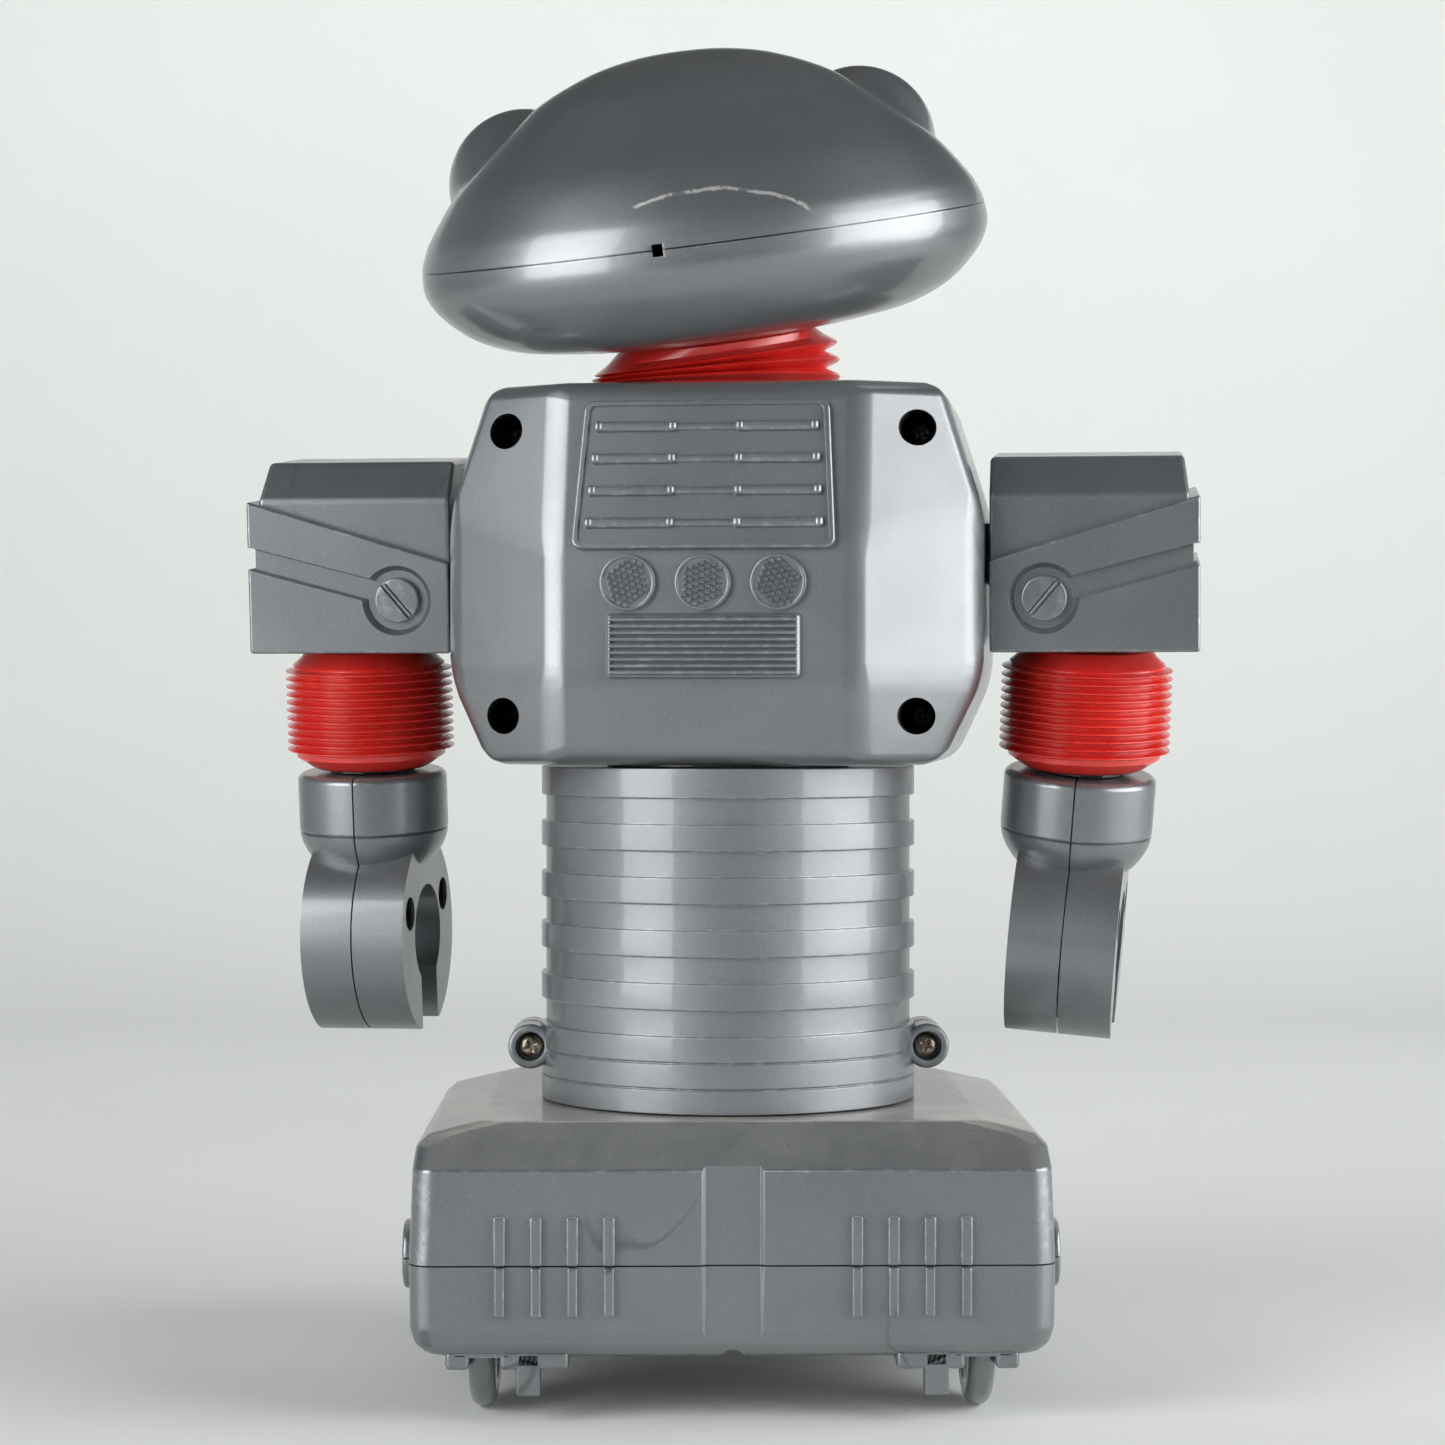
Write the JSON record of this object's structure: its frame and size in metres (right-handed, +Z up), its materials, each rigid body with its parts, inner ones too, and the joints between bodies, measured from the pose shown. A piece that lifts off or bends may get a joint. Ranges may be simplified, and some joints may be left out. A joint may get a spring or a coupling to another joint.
{
  "type": "toy robot",
  "caption": "Toy robot with a wide frog-like head, faceted torso, box shoulders, red bellows, claw hands, ringed column and wheeled base.",
  "frame": {"origin": "on the floor under the middle of the whole object's box", "axes": "+Z up, the robot faces -Y, its left side is +X"},
  "size_m": [0.1905, 0.13, 0.2634],
  "materials": {
    "silver_plastic": "silver-grey plastic with metal flake, flow lines and light dust",
    "red_vinyl": "glossy soft red vinyl",
    "bare_steel": "dull plated steel",
    "screw_brass": "aged brass-coloured screw",
    "gear_white": "natural white nylon",
    "inner_black": "satin black plastic",
    "lens_amber": "clear tinted lens"
  },
  "bodies": {
    "base": {"base_upper_casing": "silver_plastic", "base_tray": "silver_plastic", "battery_contact_rear": "bare_steel", "battery_contact_front": "bare_steel", "drive_motor": "bare_steel", "gearbox_frame": "inner_black", "tray_screw_1": "bare_steel", "tray_screw_2": "bare_steel", "tray_screw_3": "bare_steel", "tray_screw_4": "bare_steel", "column_rear_half": "silver_plastic", "column_front_half": "silver_plastic", "column_screw_left": "screw_brass", "column_screw_right": "screw_brass"},
    "battery_door": {"battery_door": "silver_plastic"},
    "power_switch": {"power_switch": "inner_black"},
    "rear_wheels": {"rear_axle": "bare_steel", "axle_gear": "gear_white", "rear_wheel_left": "silver_plastic", "rear_wheel_right": "silver_plastic"},
    "front_wheels": {"front_axle": "bare_steel", "front_wheel_left": "silver_plastic", "front_wheel_right": "silver_plastic"},
    "reduction_gear": {"reduction_gear": "gear_white"},
    "motor_pinion": {"motor_pinion": "gear_white"},
    "torso": {"torso_back_casing": "silver_plastic", "torso_front_casing": "silver_plastic", "torso_screw_1": "bare_steel", "torso_screw_2": "bare_steel", "torso_screw_3": "bare_steel", "torso_screw_4": "bare_steel", "neck_bracket": "inner_black", "neck_pin": "bare_steel", "neck_bellows": "red_vinyl"},
    "neck": {"neck_link": "inner_black", "neck_retainer": "bare_steel"},
    "head": {"head_upper_casing": "silver_plastic", "head_lower_casing": "silver_plastic", "eye_lens_left": "lens_amber", "eye_lens_right": "lens_amber", "head_screw_left": "bare_steel", "head_screw_right": "bare_steel"},
    "left_upper_arm": {"left_arm_back_half": "silver_plastic", "left_arm_front_half": "silver_plastic", "left_shoulder_pivot": "inner_black", "left_arm_bellows": "red_vinyl"},
    "left_wrist": {"left_wrist_plug": "inner_black"},
    "left_hand": {"left_claw_bored_half": "silver_plastic", "left_claw_plain_half": "silver_plastic", "left_claw_screw_front": "bare_steel", "left_claw_screw_rear": "bare_steel"},
    "right_upper_arm": {"right_arm_back_half": "silver_plastic", "right_arm_front_half": "silver_plastic", "right_shoulder_pivot": "inner_black", "right_arm_bellows": "red_vinyl"},
    "right_wrist": {"right_wrist_plug": "inner_black"},
    "right_hand": {"right_claw_bored_half": "silver_plastic", "right_claw_plain_half": "silver_plastic", "right_claw_screw_front": "bare_steel", "right_claw_screw_rear": "bare_steel"}
  },
  "joints": [
    {"name": "waist_turn", "type": "hinge", "parent": "base", "child": "torso", "pos_m": [0, 0.00985, 0.124], "axis": [0, 0, 1], "range_deg": [-82, 98]},
    {"name": "neck_tilt", "type": "hinge", "parent": "torso", "child": "neck", "pos_m": [0.0002, 0.01134, 0.19], "axis": [0.1357, 0.9907, 0], "range_deg": [-18, 4], "deforming": ["neck_bellows"]},
    {"name": "head_turn", "type": "hinge", "parent": "neck", "child": "head", "pos_m": [0.00503, 0.01734, 0.2265], "axis": [0.1293, 0.161, 0.9784], "range_deg": [-60, 60]},
    {"name": "left_shoulder_swing", "type": "hinge", "parent": "torso", "child": "left_upper_arm", "pos_m": [0.04954, 0.00306, 0.164], "axis": [0.9907, -0.1357, 0], "range_deg": [-120, 35]},
    {"name": "left_arm_bend", "type": "hinge", "parent": "left_upper_arm", "child": "left_wrist", "pos_m": [0.07257, -0.0034, 0.13337], "axis": [0.9907, -0.1357, 0], "range_deg": [-12, 10], "stiffness_Nm_per_rad": 0.12, "deforming": ["left_arm_bellows"]},
    {"name": "left_hand_turn", "type": "hinge", "parent": "left_wrist", "child": "left_hand", "pos_m": [0.07211, -0.00532, 0.11498], "axis": [0.0248, 0.1039, 0.9943], "range_deg": [-90, 90]},
    {"name": "right_shoulder_swing", "type": "hinge", "parent": "torso", "child": "right_upper_arm", "pos_m": [-0.04954, 0.01664, 0.164], "axis": [0.9907, -0.1357, 0], "range_deg": [-120, 35]},
    {"name": "right_arm_bend", "type": "hinge", "parent": "right_upper_arm", "child": "right_wrist", "pos_m": [-0.07089, 0.01626, 0.13337], "axis": [0.9907, -0.1357, 0], "range_deg": [-12, 10], "stiffness_Nm_per_rad": 0.12, "deforming": ["right_arm_bellows"]},
    {"name": "right_hand_turn", "type": "hinge", "parent": "right_wrist", "child": "right_hand", "pos_m": [-0.0698, 0.01326, 0.11515], "axis": [-0.0588, 0.162, 0.985], "range_deg": [-90, 90]},
    {"name": "rear_wheels_roll", "type": "hinge", "parent": "base", "child": "rear_wheels", "pos_m": [0, 0.03785, 0.018], "axis": [1, 0, 0], "continuous": true},
    {"name": "front_wheels_roll", "type": "hinge", "parent": "base", "child": "front_wheels", "pos_m": [0, -0.03315, 0.018], "axis": [1, 0, 0], "continuous": true},
    {"name": "reduction_gear_spin", "type": "hinge", "parent": "base", "child": "reduction_gear", "pos_m": [0.02, 0.04185, 0.02792], "axis": [1, 0, 0], "continuous": true},
    {"name": "motor_pinion_spin", "type": "hinge", "parent": "base", "child": "motor_pinion", "pos_m": [0.02, 0.02965, 0.02792], "axis": [1, 0, 0], "continuous": true},
    {"name": "battery_door_slide", "type": "slide", "parent": "base", "child": "battery_door", "axis": [0, -1, 0], "range_m": [0, 0.006]},
    {"name": "power_switch_slide", "type": "slide", "parent": "base", "child": "power_switch", "axis": [0, -1, 0], "range_m": [0, 0.004]}
  ],
  "couplings": [
    {"joint": "reduction_gear_spin", "follows": "rear_wheels_roll", "ratio": -1.3333},
    {"joint": "motor_pinion_spin", "follows": "rear_wheels_roll", "ratio": 2.6667}
  ]
}
